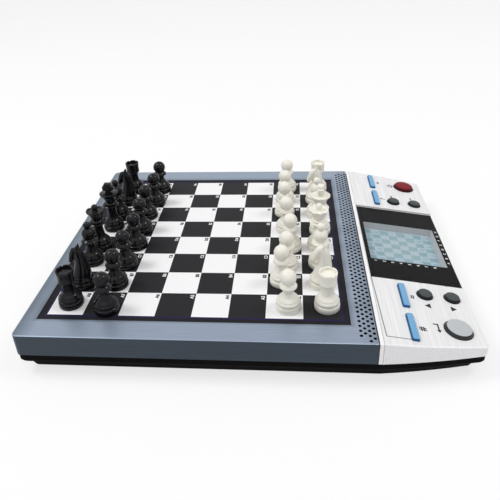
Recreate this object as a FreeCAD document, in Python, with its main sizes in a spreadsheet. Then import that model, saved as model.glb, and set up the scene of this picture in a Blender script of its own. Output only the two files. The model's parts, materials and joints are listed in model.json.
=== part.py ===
import FreeCAD, Part
import os

import Sketcher

# Electronic chess computer: a tabletop case with a sensor board, a sloping control
# panel and a full set of chessmen.  Millimetres, +Z up, origin at the middle of the
# footprint on the table.  +X runs from Black's side to the control panel, +Y from
# file a to file h.

SIZES = {
    # playing surface
    "square": 25.0,
    "board_margin": 5.5,
    "board_tuck": 3.0,
    "board_thick": 2.0,
    "sensor_thick": 1.2,
    # case outline
    "left_bar": 15.75,
    "side_bar": 23.6,
    "right_bar": 21.0,
    "trim_gap": 0.5,
    "trim_width": 2.4,
    "panel_gap": 0.25,
    "panel_length": 66.6,
    "panel_taper": 9.0,
    "panel_drop": 10.0,
    "panel_arc": 500.0,
    "corner": 4.0,
    # heights
    "foot_height": 1.2,
    "lower_height": 7.4,
    "upper_height": 7.2,
    "frame_height": 16.4,
    "frame_rise": 1.2,
    "lip_edge": 0.4,
    "bevel_width": 3.0,
    "edge_round": 0.9,
    # walls
    "wall": 2.2,
    "roof": 3.2,
    "panel_wall": 2.6,
    "base_inset": 0.6,
    "base_round": 2.4,
    "step_inset": 4.0,
    "foot_inset": 6.5,
    "seam_depth": 1.4,
    "seam_height": 0.6,
    "slack": 0.25,
    # speaker holes
    "hole_across": 1.5,
    "hole_pitch": 4.59,
    "hole_column": 2.75,
    "hole_offset": 10.8,
    "hole_near": 111.5,
    "hole_far": 115.5,
    "speaker_across": 28.0,
    "speaker_thick": 6.0,
    # display
    "window_half": 53.4,
    "window_thick": 1.4,
    "lcd_near": 3.9,
    "lcd_margin": 4.6,
    "lcd_half": 27.2,
    "lcd_depth": 7.5,
    "lcd_rim": 1.2,
    "lcd_thick": 2.2,
    # keys, placed by their distance from the panel's inner edge and its middle line
    "key_travel": 1.2,
    "key_fit": 0.3,
    "key_flange": 1.2,
    "key_stem": 1.0,
    "key_edge": 0.6,
    "bar_out": 20.3,
    "bar_inner": 71.6,
    "bar_outer": 104.0,
    "bar_wide": 4.6,
    "bar_long": 25.0,
    "bar_corner": 1.1,
    "bar_proud": 2.0,
    "arrow_near": 35.7,
    "arrow_margin": 12.1,
    "arrow_side": 67.7,
    "arrow_across": 11.2,
    "arrow_proud": 2.6,
    "large_margin": 16.1,
    "large_side": 100.6,
    "large_across": 18.6,
    "large_proud": 3.6,
    # control electronics under the panel
    "circuit_depth": 10.4,
    "circuit_thick": 1.6,
    "circuit_near": 10.0,
    "circuit_margin": 8.6,
    "circuit_side": 5.6,
    "post_across": 5.0,
    "post_inner_out": 12.5,
    "post_inner_side": 58.0,
    "post_outer_out": 36.0,
    "post_outer_side": 87.0,
    "mat_inner_side": 60.5,
    # battery bay in the floor
    "cell_across": 14.2,
    "cell_long": 49.5,
    "cell_gap": 0.6,
    "contact_room": 3.5,
    "bay_centre": -40.0,
    "bay_wall": 1.8,
    "door_ledge": 2.5,
    "door_thick": 1.6,
    # feet, posts and screws
    "foot_across": 11.0,
    "foot_sunk": 0.8,
    "foot_edge": 22.0,
    "screw_edge": 10.6,
    "screw_left": 22.0,
    "screw_right": 14.0,
    "screw_shank": 2.9,
    "screw_head": 5.4,
    "screw_head_thick": 2.0,
    "screw_bite": 9.0,
    "boss_across": 7.5,
    "stand_across": 6.0,
    "stand_step": 62.0,
    # chessmen
    "man_across": 17.4,
    "pawn_tall": 31.0,
    "rook_tall": 29.0,
    "knight_tall": 35.0,
    "bishop_tall": 36.0,
    "queen_tall": 39.5,
    "king_tall": 43.0,
    "knight_thick": 6.6,
    "notch_wide": 2.2,
    "notch_deep": 2.4,
    "cross_thick": 4.6,
    "pawn_head": 11.0,
    "bishop_head": 10.6,
    "bishop_knob": 6.0,
    "queen_knob": 5.5,
}

doc = FreeCAD.newDocument("ChessComputer")
sheet = doc.addObject("Spreadsheet::Sheet", "Size")
for row, (alias, value) in enumerate(SIZES.items(), start=1):
    sheet.set("A%d" % row, alias)
    sheet.set("B%d" % row, str(value))
    sheet.setAlias("B%d" % row, alias)
doc.recompute()

# Places that several pieces share, written as expressions of the sheet's sizes.
GRID = "(8 * Size.square)"
PANEL_OUT = "(Size.right_bar + Size.trim_gap + Size.trim_width + Size.panel_gap)"
LEFT = f"(-(Size.left_bar + {GRID} + {PANEL_OUT} + Size.panel_length) / 2)"
GRID_LEFT = f"({LEFT} + Size.left_bar)"
GRID_RIGHT = f"({GRID_LEFT} + {GRID})"
FRAME_END = f"({GRID_RIGHT} + Size.right_bar)"
TRIM_START = f"({FRAME_END} + Size.trim_gap)"
PANEL_START = f"({GRID_RIGHT} + {PANEL_OUT})"
RIGHT = f"({PANEL_START} + Size.panel_length)"
HALF = f"({GRID} / 2 + Size.side_bar)"
END_HALF = f"({HALF} - Size.panel_taper)"
FLOOR = "Size.foot_height"
STEP = "(Size.foot_height + Size.lower_height)"
RIM = f"({STEP} + Size.upper_height)"
TOP = f"({RIM} + Size.frame_height)"
BOARD = f"({TOP} - Size.frame_rise)"
SENSOR = f"({BOARD} - Size.board_thick - Size.sensor_thick)"
INSIDE = "(Size.foot_height + Size.wall)"
SLANT = "sqrt(1 + pow(Size.panel_drop / Size.panel_length; 2))"
TILT = "atan(Size.panel_drop / Size.panel_length)"
FLANGE_TOP = "(-(Size.panel_wall + Size.key_fit))"
FLANGE_LOW = f"({FLANGE_TOP} - Size.key_flange)"
STEM_LOW = f"({FLANGE_LOW} - Size.key_stem)"
LCD_FAR = "(Size.panel_length - Size.lcd_margin)"
ARROW_FAR = "(Size.panel_length - Size.arrow_margin)"
LARGE_OUT = "(Size.panel_length - Size.large_margin)"
CIRCUIT_FAR = "(Size.panel_length - Size.circuit_margin)"
CIRCUIT_HALF = f"({END_HALF} - Size.circuit_side)"
MAT_THICK = f"({STEM_LOW} - Size.key_travel - Size.key_fit + Size.circuit_depth)"


def number(expression):
    """The present value of an expression of the sheet's sizes."""
    value = sheet.evalExpression(expression)
    return float(getattr(value, "Value", value))


def body(label):
    made = doc.addObject("PartDesign::Body", label)
    made.Label = label
    return made


def bind(thing, **expressions):
    """Tie properties to expressions; a double underscore stands for a dot."""
    for name, expression in expressions.items():
        thing.setExpression(name.replace("__", "."), expression)


def place(thing, x="0", y="0", z="0"):
    bind(thing, Placement__Base__x=x, Placement__Base__y=y, Placement__Base__z=z)


def lay_on_panel(thing, out, side, depth="0"):
    """Place a thing on the sloping panel, with its own Z along the panel's normal."""
    thing.Placement = FreeCAD.Placement(
        FreeCAD.Vector(), FreeCAD.Rotation(FreeCAD.Vector(0, 1, 0), 1)
    )
    bind(thing, Placement__Rotation__Angle=TILT)
    fall = f"Size.panel_drop * ({out}) / Size.panel_length"
    lean = f"({depth}) / {SLANT}"
    place(
        thing,
        f"{PANEL_START} + ({out}) - {lean} * Size.panel_drop / Size.panel_length",
        side,
        f"{TOP} - {fall} - {lean}",
    )


def sketch_on(owner, name, plane, height):
    sketch = owner.newObject("Sketcher::SketchObject", name)
    support = [f for f in owner.Origin.OriginFeatures if f.Role == plane][0]
    sketch.AttachmentSupport = [(support, "")]
    sketch.MapMode = "FlatFace"
    bind(sketch, AttachmentOffset__Base__z=height)
    return sketch


def tilt_sketch(sketch):
    """Lay a sketch of the level plane on the sloping panel's top."""
    sketch.AttachmentOffset = FreeCAD.Placement(
        FreeCAD.Vector(), FreeCAD.Rotation(FreeCAD.Vector(0, 1, 0), 1)
    )
    bind(
        sketch,
        AttachmentOffset__Base__x=PANEL_START,
        AttachmentOffset__Base__z=TOP,
        AttachmentOffset__Rotation__Angle=TILT,
    )


def add_loop(sketch, corners, arcs=None, hollows=None):
    """Close a loop through corners, anticlockwise; arcs and hollows map an edge to a radius.

    An arc bulges out of the loop and a hollow curves into it.
    """
    arcs = arcs or {}
    hollows = hollows or {}
    places = [FreeCAD.Vector(number(x), number(y), 0) for x, y in corners]
    first = sketch.GeometryCount
    count = len(corners)
    for edge, start in enumerate(places):
        end = places[(edge + 1) % count]
        if edge in arcs:
            sketch.addGeometry(arc_between(start, end, number(arcs[edge])), False)
        elif edge in hollows:
            sketch.addGeometry(arc_between(end, start, number(hollows[edge])), False)
        else:
            sketch.addGeometry(Part.LineSegment(start, end), False)
    begin = [2 if edge in hollows else 1 for edge in range(count)]
    for edge in range(count):
        after = (edge + 1) % count
        ends = (first + edge, 3 - begin[edge], first + after, begin[after])
        sketch.addConstraint(Sketcher.Constraint("Coincident", *ends))
    for edge, corner in enumerate(corners):
        for kind, expression in zip(("DistanceX", "DistanceY"), corner):
            drive(sketch, kind, (-1, 1, first + edge, begin[edge]), expression)
    for edge, radius in [*arcs.items(), *hollows.items()]:
        drive(sketch, "Radius", (first + edge,), radius)


def arc_between(start, end, radius):
    """The anticlockwise arc of a radius from start to end, its centre on the left."""
    middle = (start + end) * 0.5
    chord = end - start
    left = FreeCAD.Vector(-chord.y, chord.x, 0).normalize()
    rise = max(radius**2 - chord.Length**2 / 4, 0) ** 0.5
    centre = middle + left * rise
    circle = Part.Circle(centre, FreeCAD.Vector(0, 0, 1), radius)
    return Part.ArcOfCircle(circle, circle.parameter(start), circle.parameter(end))


def add_circle(sketch, x, y, across):
    centre = FreeCAD.Vector(number(x), number(y), 0)
    circle = Part.Circle(centre, FreeCAD.Vector(0, 0, 1), number(across) / 2)
    index = sketch.addGeometry(circle, False)
    drive(sketch, "DistanceX", (-1, 1, index, 3), x)
    drive(sketch, "DistanceY", (-1, 1, index, 3), y)
    drive(sketch, "Diameter", (index,), across)


def drive(sketch, kind, where, expression):
    index = sketch.addConstraint(Sketcher.Constraint(kind, *where, number(expression)))
    sketch.setExpression("Constraints[%d]" % index, expression)


def rectangle(x_low, y_low, x_high, y_high):
    return [(x_low, y_low), (x_high, y_low), (x_high, y_high), (x_low, y_high)]


def pad(owner, sketch, length, down=False):
    made = owner.newObject("PartDesign::Pad", sketch.Name + "Pad")
    made.Profile = sketch
    made.Reversed = down
    bind(made, Length=length)
    doc.recompute()
    return made


def pocket(owner, sketch, length, up=False):
    """Cut a sketch's outline out of the body, and make sure that it cut something."""
    before = owner.Shape.Volume
    made = owner.newObject("PartDesign::Pocket", sketch.Name + "Pocket")
    made.Profile = sketch
    made.Reversed = up
    bind(made, Length=length)
    doc.recompute()
    if owner.Shape.Volume >= before:
        raise RuntimeError("nothing was cut by " + made.Name)
    return made


def blend(owner, kind, radius, choose):
    """Fillet or chamfer the edges that a test picks."""
    tip = owner.Tip
    names = ["Edge%d" % (i + 1) for i, e in enumerate(owner.Shape.Edges) if choose(e)]
    made = owner.newObject("PartDesign::" + kind, owner.Name + kind)
    made.Base = (tip, names)
    bind(made, **{"Radius" if kind == "Fillet" else "Size": radius})
    doc.recompute()
    return made


def level_edge(height):
    """A test for edges that lie level at a height."""
    z = number(height)
    return lambda edge: all(abs(v.Z - z) < 1e-4 for v in edge.Vertexes)


def turned(owner, profile, name="Turned"):
    """Revolve a profile of (radius, height) corners about the upright axis."""
    sketch = sketch_on(owner, owner.Name + name, "XZ_Plane", "0")
    add_loop(sketch, profile)
    made = owner.newObject("PartDesign::Revolution", sketch.Name + "Solid")
    made.Profile = sketch
    made.ReferenceAxis = (sketch, ["V_Axis"])
    made.Angle = 360
    doc.recompute()
    return made


def loft(owner, kind, sketches):
    made = owner.newObject("PartDesign::" + kind, sketches[0].Name + "Loft")
    made.Profile = sketches[0]
    made.Sections = sketches[1:]
    made.Ruled = True
    doc.recompute()
    return made


def group(label, solids):
    """Several separate solids of one kind, kept as one sub-part."""
    made = doc.addObject("Part::Compound", label)
    made.Label = label
    made.Links = solids
    return made


def cylinder(name, across, tall, x, y, z):
    made = doc.addObject("Part::Cylinder", name)
    bind(made, Radius=f"({across}) / 2", Height=tall)
    place(made, x, y, z)
    return made


def box(name, low, high):
    made = doc.addObject("Part::Box", name)
    sizes = [f"({b}) - ({a})" for a, b in zip(low, high)]
    bind(made, Length=sizes[0], Width=sizes[1], Height=sizes[2])
    place(made, *low)
    return made


def case_outline(inset):
    """The whole case's plan, drawn in by an inset: square end left, tapered end right."""
    near = f"-({HALF} - {inset})"
    near_end = f"-({END_HALF} - {inset})"
    far = f"({HALF} - {inset})"
    far_end = f"({END_HALF} - {inset})"
    left = f"{LEFT} + {inset}"
    right = f"{RIGHT} - {inset}"
    corners = [
        (f"{left} + Size.corner", near),
        (PANEL_START, near),
        (f"{right} - Size.corner", near_end),
        (right, f"{near_end} + Size.corner"),
        (right, f"{far_end} - Size.corner"),
        (f"{right} - Size.corner", far_end),
        (PANEL_START, far),
        (f"{left} + Size.corner", far),
        (left, f"{far} - Size.corner"),
        (left, f"{near} + Size.corner"),
    ]
    round_corner = "Size.corner"
    arcs = {1: "Size.panel_arc", 5: "Size.panel_arc"}
    arcs.update({edge: round_corner for edge in (2, 4, 7, 9)})
    return corners, arcs


def outline_sketch(owner, name, height, inset):
    sketch = sketch_on(owner, name, "XY_Plane", height)
    add_loop(sketch, *case_outline(inset))
    return sketch


# Where the case's screws, feet and board stands are, as (x, y) expressions.
SCREW_LEFT = f"{LEFT} + Size.screw_left"
SCREW_SIDE = f"({HALF} - Size.screw_edge)"
SCREW_RIGHT = f"{FRAME_END} - Size.screw_right"
SCREWS = [
    (x, sign + SCREW_SIDE) for x in (SCREW_LEFT, SCREW_RIGHT) for sign in ("-", "")
]
FEET = [
    (x, sign + f"({END_HALF} - Size.foot_edge)")
    for x in (f"{LEFT} + Size.foot_edge", f"{RIGHT} - Size.foot_edge")
    for sign in ("-", "")
]
STANDS = [
    (f"{GRID_LEFT} + {GRID} / 2 + {i} * Size.stand_step", f"{j} * Size.stand_step")
    for i in (-1, 1)
    for j in (-1, 0, 1)
]
BAY_LONG = "(Size.cell_long + 2 * Size.contact_room)"
BAY_WIDE = "(3 * Size.cell_across + 4 * Size.cell_gap)"
BAY_DEEP = "(Size.cell_across + 2 * Size.cell_gap)"
BAY_TOP = f"({INSIDE} + {BAY_DEEP})"


def bay_rectangle(grow):
    long = f"({BAY_LONG} / 2 + {grow})"
    wide = f"({BAY_WIDE} / 2 + {grow})"
    return rectangle(
        f"Size.bay_centre - {long}", f"-{wide}", f"Size.bay_centre + {long}", wide
    )


def build_bottom_case():
    """The black tray: two tiers, a seam step, a battery bay, stands and screw bosses."""
    tray = body("bottom_case")
    rounded = f"({STEP} + Size.base_round)"
    upper = outline_sketch(tray, "TrayUpper", rounded, "Size.base_inset")
    pad(tray, upper, "Size.upper_height - Size.seam_height - Size.base_round")
    under = [("Edge", "1", "0"), ("Turn", "0.35", "0.3"), ("Under", "0", "0.95")]
    loft(
        tray,
        "AdditiveLoft",
        [
            outline_sketch(
                tray,
                "Tray" + name,
                f"{STEP} + {up} * Size.base_round",
                f"(Size.base_inset + {drawn_in} * Size.base_round)",
            )
            for name, up, drawn_in in under
        ],
    )
    loft(
        tray,
        "AdditiveLoft",
        [
            outline_sketch(tray, "TrayLower", STEP, "Size.step_inset"),
            outline_sketch(tray, "TrayFoot", FLOOR, "Size.foot_inset"),
        ],
    )
    seam = "(Size.base_inset + Size.seam_depth)"
    pad(tray, outline_sketch(tray, "TrayLip", STEP, seam), "Size.upper_height")
    hollow = outline_sketch(tray, "TrayHollow", RIM, f"({seam} + Size.wall)")
    pocket(tray, hollow, "Size.upper_height - Size.wall")
    well = outline_sketch(tray, "TrayWell", RIM, "(Size.foot_inset + Size.wall)")
    pocket(tray, well, "Size.upper_height + Size.lower_height - Size.wall")
    bay = sketch_on(tray, "BayBox", "XY_Plane", INSIDE)
    add_loop(bay, bay_rectangle("Size.bay_wall"))
    pad(tray, bay, f"{BAY_DEEP} + Size.bay_wall")
    hole = sketch_on(tray, "BayHole", "XY_Plane", FLOOR)
    add_loop(hole, bay_rectangle("0"))
    pocket(tray, hole, f"{BAY_TOP} - {FLOOR}", up=True)
    seat = sketch_on(tray, "DoorSeat", "XY_Plane", FLOOR)
    add_loop(seat, bay_rectangle("(Size.door_ledge + Size.slack)"))
    pocket(tray, seat, "Size.door_thick", up=True)
    stands = sketch_on(tray, "Stands", "XY_Plane", INSIDE)
    for x, y in STANDS:
        add_circle(stands, x, y, "Size.stand_across")
    pad(tray, stands, f"{SENSOR} - {INSIDE}")
    bosses = sketch_on(tray, "TrayBosses", "XY_Plane", INSIDE)
    for x, y in SCREWS:
        add_circle(bosses, x, y, "Size.boss_across")
    pad(tray, bosses, f"{RIM} - {INSIDE}")
    shanks = sketch_on(tray, "ShankHoles", "XY_Plane", FLOOR)
    heads = sketch_on(tray, "HeadHoles", "XY_Plane", FLOOR)
    for x, y in SCREWS:
        add_circle(shanks, x, y, "Size.screw_shank + 2 * Size.slack")
        add_circle(heads, x, y, "Size.screw_head + 2 * Size.slack")
    pocket(tray, shanks, f"{RIM} - {FLOOR}", up=True)
    pocket(tray, heads, "Size.screw_head_thick + Size.slack", up=True)
    feet = sketch_on(tray, "FootSeats", "XY_Plane", FLOOR)
    for x, y in FEET:
        add_circle(feet, x, y, "Size.foot_across + 2 * Size.slack")
    pocket(tray, feet, "Size.foot_sunk", up=True)
    return tray


def grid_rectangle(margin):
    return rectangle(
        f"{GRID_LEFT} - {margin}",
        f"-({GRID} / 2 + {margin})",
        f"{GRID_RIGHT} + {margin}",
        f"{GRID} / 2 + {margin}",
    )


def build_top_frame():
    """The blue-grey frame: bars round the board, an inner bevel and speaker holes."""
    frame = body("top_frame")
    bars = sketch_on(frame, "Bars", "XY_Plane", RIM)
    corners = [
        (f"{LEFT} + Size.corner", f"-{HALF}"),
        (FRAME_END, f"-{HALF}"),
        (FRAME_END, HALF),
        (f"{LEFT} + Size.corner", HALF),
        (LEFT, f"{HALF} - Size.corner"),
        (LEFT, f"-({HALF} - Size.corner)"),
    ]
    add_loop(bars, corners, {3: "Size.corner", 5: "Size.corner"})
    pad(frame, bars, "Size.frame_height")
    blend(frame, "Fillet", "Size.edge_round", level_edge(TOP))
    under = sketch_on(frame, "FrameHollow", "XY_Plane", RIM)
    wall = "Size.wall"
    low = rectangle(
        f"{LEFT} + {wall}", f"-({HALF} - {wall})", f"{FRAME_END} - {wall}", f"{HALF} - {wall}"
    )
    add_loop(under, low)
    pocket(frame, under, "Size.frame_height - Size.roof", up=True)
    tuck = "(Size.board_margin + Size.board_tuck + Size.slack)"
    recess = sketch_on(frame, "BoardRecess", "XY_Plane", RIM)
    add_loop(recess, grid_rectangle(tuck))
    pocket(frame, recess, f"{BOARD} - {RIM}", up=True)
    opening = sketch_on(frame, "BoardOpening", "XY_Plane", RIM)
    add_loop(opening, grid_rectangle("Size.board_margin"))
    pocket(frame, opening, "Size.frame_height", up=True)
    bevel_top = sketch_on(frame, "BevelTop", "XY_Plane", TOP)
    add_loop(bevel_top, grid_rectangle("(Size.board_margin + Size.bevel_width)"))
    bevel_low = sketch_on(frame, "BevelLow", "XY_Plane", f"{BOARD} + Size.lip_edge")
    add_loop(bevel_low, grid_rectangle("Size.board_margin"))
    loft(frame, "SubtractiveLoft", [bevel_top, bevel_low])
    add_frame_bosses(frame)
    add_speaker_holes(frame)
    return frame


def add_frame_bosses(frame):
    bosses = sketch_on(frame, "FrameBosses", "XY_Plane", RIM)
    pilots = sketch_on(frame, "PilotHoles", "XY_Plane", RIM)
    for x, y in SCREWS:
        add_circle(bosses, x, y, "Size.boss_across")
        add_circle(pilots, x, y, "Size.screw_shank + 2 * 0.05")
    pad(frame, bosses, "Size.frame_height - Size.roof")
    pocket(frame, pilots, "Size.screw_bite + Size.slack", up=True)


def add_speaker_holes(frame):
    """Four staggered columns of six-sided holes along the whole right bar."""
    run = number("(Size.hole_near + Size.hole_far) / Size.hole_pitch")
    rows = int(run) + 1
    row = sketch_on(frame, "HoleRow", "XY_Plane", TOP)
    for column in range(4):
        x = f"{GRID_RIGHT} + Size.hole_offset + {column} * Size.hole_column"
        y = f"{column % 2} * Size.hole_pitch / 2 - Size.hole_near"
        add_loop(row, hexagon(x, y, "Size.hole_across"))
    first = pocket(frame, row, "Size.roof + Size.slack")
    pattern = frame.newObject("PartDesign::LinearPattern", "HoleRows")
    pattern.Originals = [first]
    pattern.Direction = (row, ["V_Axis"])
    pattern.Occurrences = rows
    bind(pattern, Length=f"{rows - 1} * Size.hole_pitch")
    frame.Tip = pattern
    doc.recompute()


def hexagon(x, y, across):
    half = f"({across}) / 2"
    return [
        (f"{x} + {half} * cos({60 * turn})", f"{y} + {half} * sin({60 * turn})")
        for turn in range(6)
    ]


def build_board():
    """The printed playing surface, tucked under the frame, and its sensor sheet."""
    board = body("board_panel")
    sheet_plan = sketch_on(board, "BoardPlan", "XY_Plane", f"{BOARD} - Size.board_thick")
    add_loop(sheet_plan, grid_rectangle("(Size.board_margin + Size.board_tuck)"))
    pad(board, sheet_plan, "Size.board_thick")
    sensor = body("sensor_board")
    sensor_plan = sketch_on(sensor, "SensorPlan", "XY_Plane", SENSOR)
    add_loop(sensor_plan, grid_rectangle("Size.board_margin"))
    pad(sensor, sensor_plan, "Size.sensor_thick")
    return [board, sensor]


def build_trim():
    """The silver strip that bridges the frame and the panel, with a leg down each side."""
    trim = body("seam_trim")
    bridge = sketch_on(trim, "Bridge", "YZ_Plane", TRIM_START)
    inner = f"({HALF} - Size.panel_wall)"
    under = f"({TOP} - Size.panel_wall)"
    corners = [
        (f"-{HALF}", RIM),
        (f"-{inner}", RIM),
        (f"-{inner}", under),
        (inner, under),
        (inner, RIM),
        (HALF, RIM),
        (HALF, TOP),
        (f"-{HALF}", TOP),
    ]
    add_loop(bridge, corners)
    pad(trim, bridge, "Size.trim_width")
    level = level_edge(TOP)
    blend(trim, "Fillet", "Size.edge_round", lambda e: level(e) and e.Length < number(HALF))
    return trim


def panel_sketch(owner, name):
    sketch = sketch_on(owner, name, "XY_Plane", "0")
    tilt_sketch(sketch)
    return sketch


def key_places():
    """Each key as label, kind, distance from the panel's inner edge and from its middle."""
    keys = []
    for side, sign in (("near", "-"), ("far", "")):
        keys += [
            (f"bar_key_{side}_inner", "bar", "Size.bar_out", sign + "Size.bar_inner"),
            (f"bar_key_{side}_outer", "bar", "Size.bar_out", sign + "Size.bar_outer"),
            (f"arrow_key_{side}_left", "arrow", "Size.arrow_near", sign + "Size.arrow_side"),
            (f"arrow_key_{side}_right", "arrow", ARROW_FAR, sign + "Size.arrow_side"),
        ]
    keys.append(("enter_key", "large", LARGE_OUT, "-Size.large_side"))
    keys.append(("power_key", "large", LARGE_OUT, "Size.large_side"))
    return keys


def bar_outline(x, y, wide, long):
    """A rectangle with rounded corners about a centre, long along Y."""
    left = f"{x} - ({wide}) / 2"
    right = f"{x} + ({wide}) / 2"
    near = f"{y} - ({long}) / 2"
    far = f"{y} + ({long}) / 2"
    turn = "Size.bar_corner"
    corners = [
        (f"{left} + {turn}", near),
        (f"{right} - {turn}", near),
        (right, f"{near} + {turn}"),
        (right, f"{far} - {turn}"),
        (f"{right} - {turn}", far),
        (f"{left} + {turn}", far),
        (left, f"{far} - {turn}"),
        (left, f"{near} + {turn}"),
    ]
    return corners, {edge: turn for edge in (1, 3, 5, 7)}


def build_control_panel():
    """The silver wedge: arched sides, sloping deck, window seat, display walls, key holes."""
    panel = wedge("control_panel", "0")
    blend(panel, "Fillet", "Size.edge_round", outer_deck_edge)
    hollow = panel.newObject("PartDesign::Boolean", "PanelHollow")
    hollow.setObjects([wedge("panel_hollow", "Size.panel_wall")])
    hollow.Type = "Cut"
    doc.recompute()
    add_display_seat(panel)
    add_panel_posts(panel)
    add_key_holes(panel)
    return panel


def wedge(label, inset):
    """The panel's outer form, or the room inside it when it is drawn in by an inset."""
    form = body(label)
    left = f"{PANEL_START} + {inset}"
    right = f"{RIGHT} - {inset}"
    half = f"({HALF} - {inset})"
    end = f"({END_HALF} - {inset})"
    plan = sketch_on(form, label + "Plan", "XY_Plane", RIM)
    corners = [
        (left, f"-{half}"),
        (f"{right} - Size.corner", f"-{end}"),
        (right, f"-({end} - Size.corner)"),
        (right, f"{end} - Size.corner"),
        (f"{right} - Size.corner", end),
        (left, half),
    ]
    arcs = {0: "Size.panel_arc", 1: "Size.corner", 3: "Size.corner", 4: "Size.panel_arc"}
    add_loop(plan, corners, arcs)
    pad(form, plan, "Size.frame_height")
    slope = sketch_on(form, label + "Slope", "XZ_Plane", HALF)
    high = f"{TOP} - {inset} * {SLANT}"
    beyond = f"{PANEL_START} + Size.panel_length * 1.1"
    over = f"{TOP} + Size.panel_drop"
    low = f"{high} - Size.panel_drop * 1.1"
    add_loop(slope, [(PANEL_START, high), (beyond, low), (beyond, over), (PANEL_START, over)])
    pocket(form, slope, f"2 * {HALF}")
    return form


def outer_deck_edge(edge):
    """A test for the sloping deck's edges, apart from the one along the seam."""
    start = number(PANEL_START)
    fall = number("Size.panel_drop / Size.panel_length")
    ends = edge.Vertexes
    on_deck = all(abs(v.Z - number(TOP) + fall * (v.X - start)) < 1e-3 for v in ends)
    return on_deck and any(v.X > start + 0.1 for v in ends)


def display_rectangle(grow):
    return rectangle(
        f"(Size.lcd_near - {grow}) * {SLANT}",
        f"-(Size.lcd_half + {grow})",
        f"({LCD_FAR} + {grow}) * {SLANT}",
        f"Size.lcd_half + {grow}",
    )


def add_display_seat(panel):
    walls = panel_sketch(panel, "DisplayWalls")
    add_loop(walls, display_rectangle("Size.lcd_rim"))
    add_loop(walls, display_rectangle("0"))
    pad(panel, walls, "Size.lcd_depth", down=True)
    seat = panel_sketch(panel, "WindowSeat")
    add_loop(seat, window_rectangle("Size.slack", "Size.panel_length * 0.1"))
    pocket(panel, seat, "Size.window_thick")
    opening = panel_sketch(panel, "DisplayOpening")
    add_loop(opening, display_rectangle("0"))
    pocket(panel, opening, "Size.lcd_depth")


def window_rectangle(grow, past):
    """The window's plan on the panel: from the inner edge out to the panel's right end."""
    return rectangle(
        f"2 * Size.slack - {grow}",
        f"-(Size.window_half + {grow})",
        f"(Size.panel_length + {past}) * {SLANT}",
        f"Size.window_half + {grow}",
    )


def post_places():
    places = []
    for sign in ("-", ""):
        places.append((f"Size.post_inner_out * {SLANT}", sign + "Size.post_inner_side"))
        places.append((f"Size.post_outer_out * {SLANT}", sign + "Size.post_outer_side"))
    return places


def add_panel_posts(panel):
    posts = panel_sketch(panel, "CircuitPosts")
    for x, y in post_places():
        add_circle(posts, x, y, "Size.post_across")
    posts.setExpression("AttachmentOffset.Base.z", f"{TOP} - Size.panel_wall / 2 / {SLANT}")
    pad(panel, posts, "Size.circuit_depth - Size.panel_wall / 2", down=True)


def add_key_holes(panel):
    holes = panel_sketch(panel, "KeyHoles")
    fit = "2 * Size.key_fit"
    for _, kind, out, side in key_places():
        x = f"{out} * {SLANT}"
        if kind == "bar":
            add_loop(holes, *bar_outline(x, side, f"Size.bar_wide + {fit}", f"Size.bar_long + {fit}"))
        else:
            add_circle(holes, x, side, f"Size.{kind}_across + {fit}")
    pocket(panel, holes, "Size.panel_wall + Size.key_fit")


def build_window():
    """The flush window over the display and the display module under its walls."""
    window = body("display_window")
    plan = sketch_on(window, "WindowPlan", "XY_Plane", "0")
    tilt_sketch(plan)
    add_loop(plan, window_rectangle("0", "0"))
    pad(window, plan, "Size.window_thick", down=True)
    module = body("lcd_module")
    plan = sketch_on(module, "ModulePlan", "XY_Plane", "0")
    side = "Size.lcd_half + Size.lcd_rim"
    near = f"(Size.lcd_near + 2 * Size.slack) * {SLANT}"
    far = f"({LCD_FAR} + Size.lcd_rim) * {SLANT}"
    add_loop(plan, rectangle(near, f"-({side})", far, side))
    pad(module, plan, "Size.lcd_thick", down=True)
    lay_on_panel(module, "0", "0", "Size.lcd_depth")
    return [window, module]


def build_key(label, kind, out, side):
    """A cap with a flange under the panel and a stem over the keypad."""
    key = body(label)
    proud = f"Size.{kind}_proud"
    if kind == "bar":
        cap = sketch_on(key, label + "Cap", "XY_Plane", FLANGE_LOW)
        add_loop(cap, *bar_outline("0", "0", "Size.bar_wide", "Size.bar_long"))
        pad(key, cap, f"{proud} - Size.key_edge - {FLANGE_LOW}")
        rim = sketch_on(key, label + "Rim", "XY_Plane", f"{proud} - Size.key_edge")
        add_loop(rim, *bar_outline("0", "0", "Size.bar_wide", "Size.bar_long"))
        crown = sketch_on(key, label + "Crown", "XY_Plane", proud)
        less = "2 * Size.key_edge"
        add_loop(crown, *bar_outline("0", "0", f"Size.bar_wide - {less}", f"Size.bar_long - {less}"))
        loft(key, "AdditiveLoft", [rim, crown])
        flange = sketch_on(key, label + "Flange", "XY_Plane", FLANGE_LOW)
        wider = "2 * Size.key_flange"
        add_loop(flange, *bar_outline("0", "0", f"Size.bar_wide + {wider}", f"Size.bar_long + {wider}"))
        pad(key, flange, "Size.key_flange")
        stem = sketch_on(key, label + "Stem", "XY_Plane", STEM_LOW)
        add_circle(stem, "0", "0", "Size.bar_wide")
        pad(key, stem, "Size.key_stem")
    else:
        half = f"(Size.{kind}_across / 2)"
        turned(
            key,
            [
                ("0", STEM_LOW),
                ("Size.bar_wide / 2", STEM_LOW),
                ("Size.bar_wide / 2", FLANGE_LOW),
                (f"{half} + Size.key_flange", FLANGE_LOW),
                (f"{half} + Size.key_flange", FLANGE_TOP),
                (half, FLANGE_TOP),
                (half, f"{proud} - Size.key_edge"),
                (f"{half} - Size.key_edge * 1.5", proud),
                ("0", f"{proud} + Size.key_edge / 2"),
            ],
        )
    lay_on_panel(key, out, side)
    return key


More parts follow.
